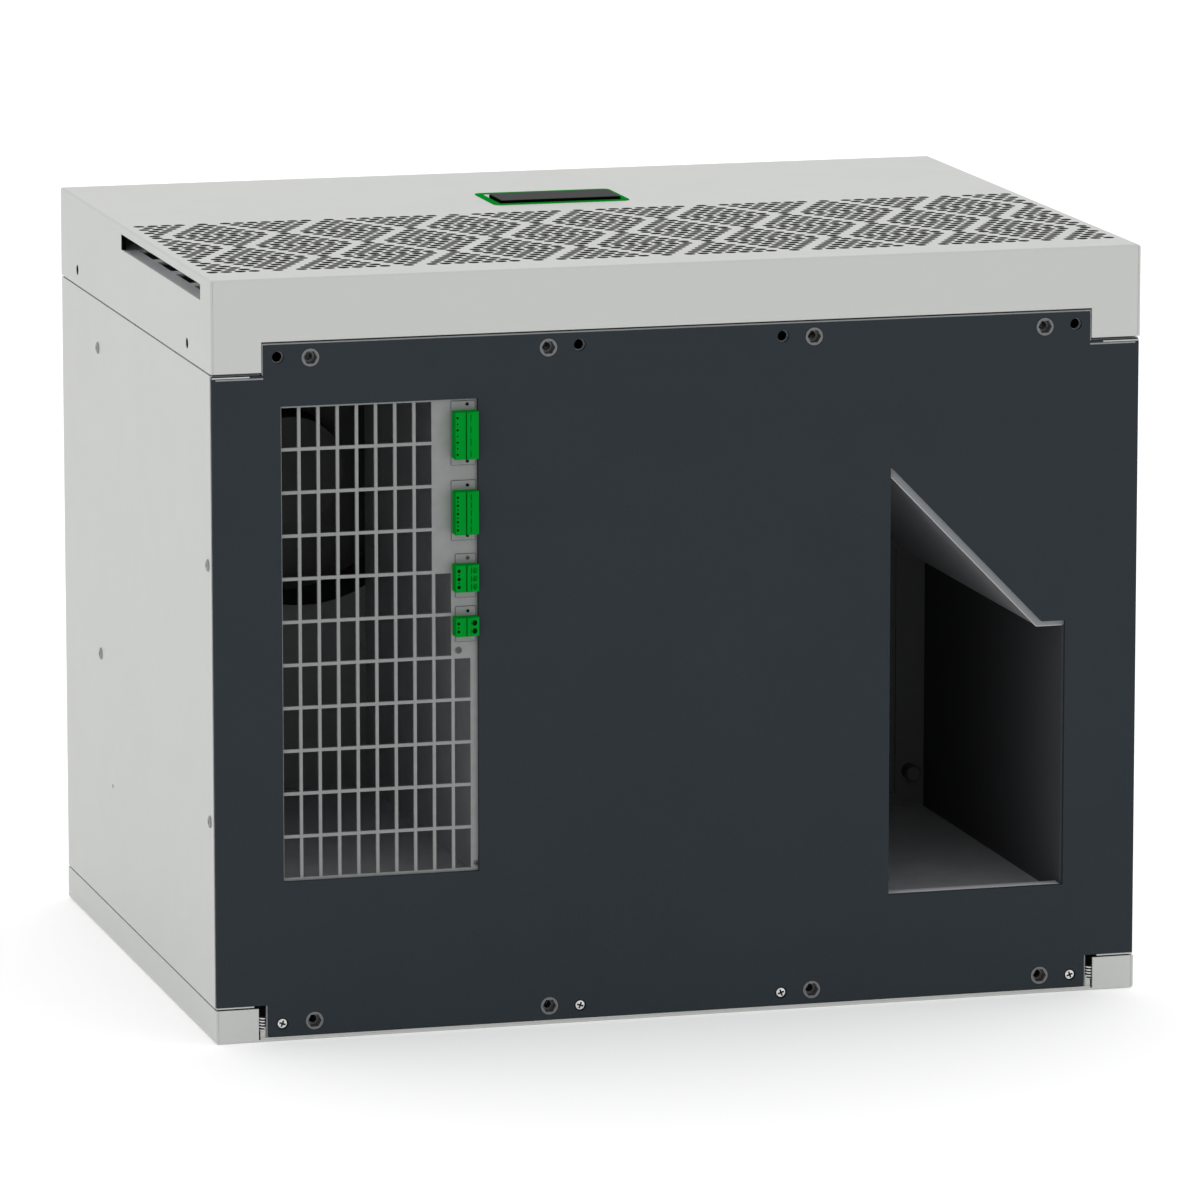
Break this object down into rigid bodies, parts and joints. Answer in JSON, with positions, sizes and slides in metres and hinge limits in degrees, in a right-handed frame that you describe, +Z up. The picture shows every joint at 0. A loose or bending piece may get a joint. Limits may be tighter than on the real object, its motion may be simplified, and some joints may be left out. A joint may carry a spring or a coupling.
{
  "type": "roof-mounted enclosure cooling unit",
  "caption": "Sheet-metal cooling unit for an enclosure roof: gasketed base face with meshed air intake, slanted cold-air outlet and terminal blocks; cover with patterned grille and controller.",
  "frame": {"origin": "centre of the whole object's bottom, as it is pictured standing on its plain cover", "axes": "+Z up through the grille and display face, which is the front in service; -Y out of the gasket face, which lies on the enclosure's roof in service; +X along the width"},
  "size_m": [0.597, 0.4504, 0.4798],
  "materials": {
    "foam": "matte",
    "grey_paint": "fine-textured powder coat",
    "zinc_sheet": "galvanised",
    "insert_steel": "zinc plated",
    "terminal_green": "satin",
    "green_plastic": "satin",
    "black_gloss": "gloss",
    "black_plastic": "satin"
  },
  "bodies": {
    "root": {"air_deck": "zinc_sheet", "back_panel": "grey_paint", "base_plate": "zinc_sheet", "display_frame": "green_plastic", "display_tub": "grey_paint", "display_unit": "black_gloss", "drain_plug": "black_plastic", "duct_back_panel": "zinc_sheet", "duct_back_wall": "zinc_sheet", "duct_floor": "zinc_sheet", "duct_inner_wall": "zinc_sheet", "duct_outer_wall": "zinc_sheet", "duct_roof": "zinc_sheet", "evaporator_fan": "black_plastic", "fan_plate": "zinc_sheet", "fixing_insert_1": "insert_steel", "fixing_insert_2": "insert_steel", "fixing_insert_3": "insert_steel", "fixing_insert_4": "insert_steel", "fixing_insert_5": "insert_steel", "fixing_insert_6": "insert_steel", "fixing_insert_7": "insert_steel", "fixing_insert_8": "insert_steel", "grille_cover": "grey_paint", "intake_grille": "grey_paint", "intake_mesh": "zinc_sheet", "left_side_panel": "grey_paint", "lower_rails": "zinc_sheet", "plain_cover": "grey_paint", "plenum_floor": "zinc_sheet", "plenum_inner_wall": "zinc_sheet", "plenum_outer_wall": "zinc_sheet", "plenum_roof": "zinc_sheet", "right_side_panel": "grey_paint", "roof_gasket": "foam", "terminal_block_1": "terminal_green", "terminal_block_2": "terminal_green", "terminal_block_3": "terminal_green", "terminal_block_4": "terminal_green", "terminal_plates": "zinc_sheet", "upper_rails": "zinc_sheet"}
  },
  "joints": []
}
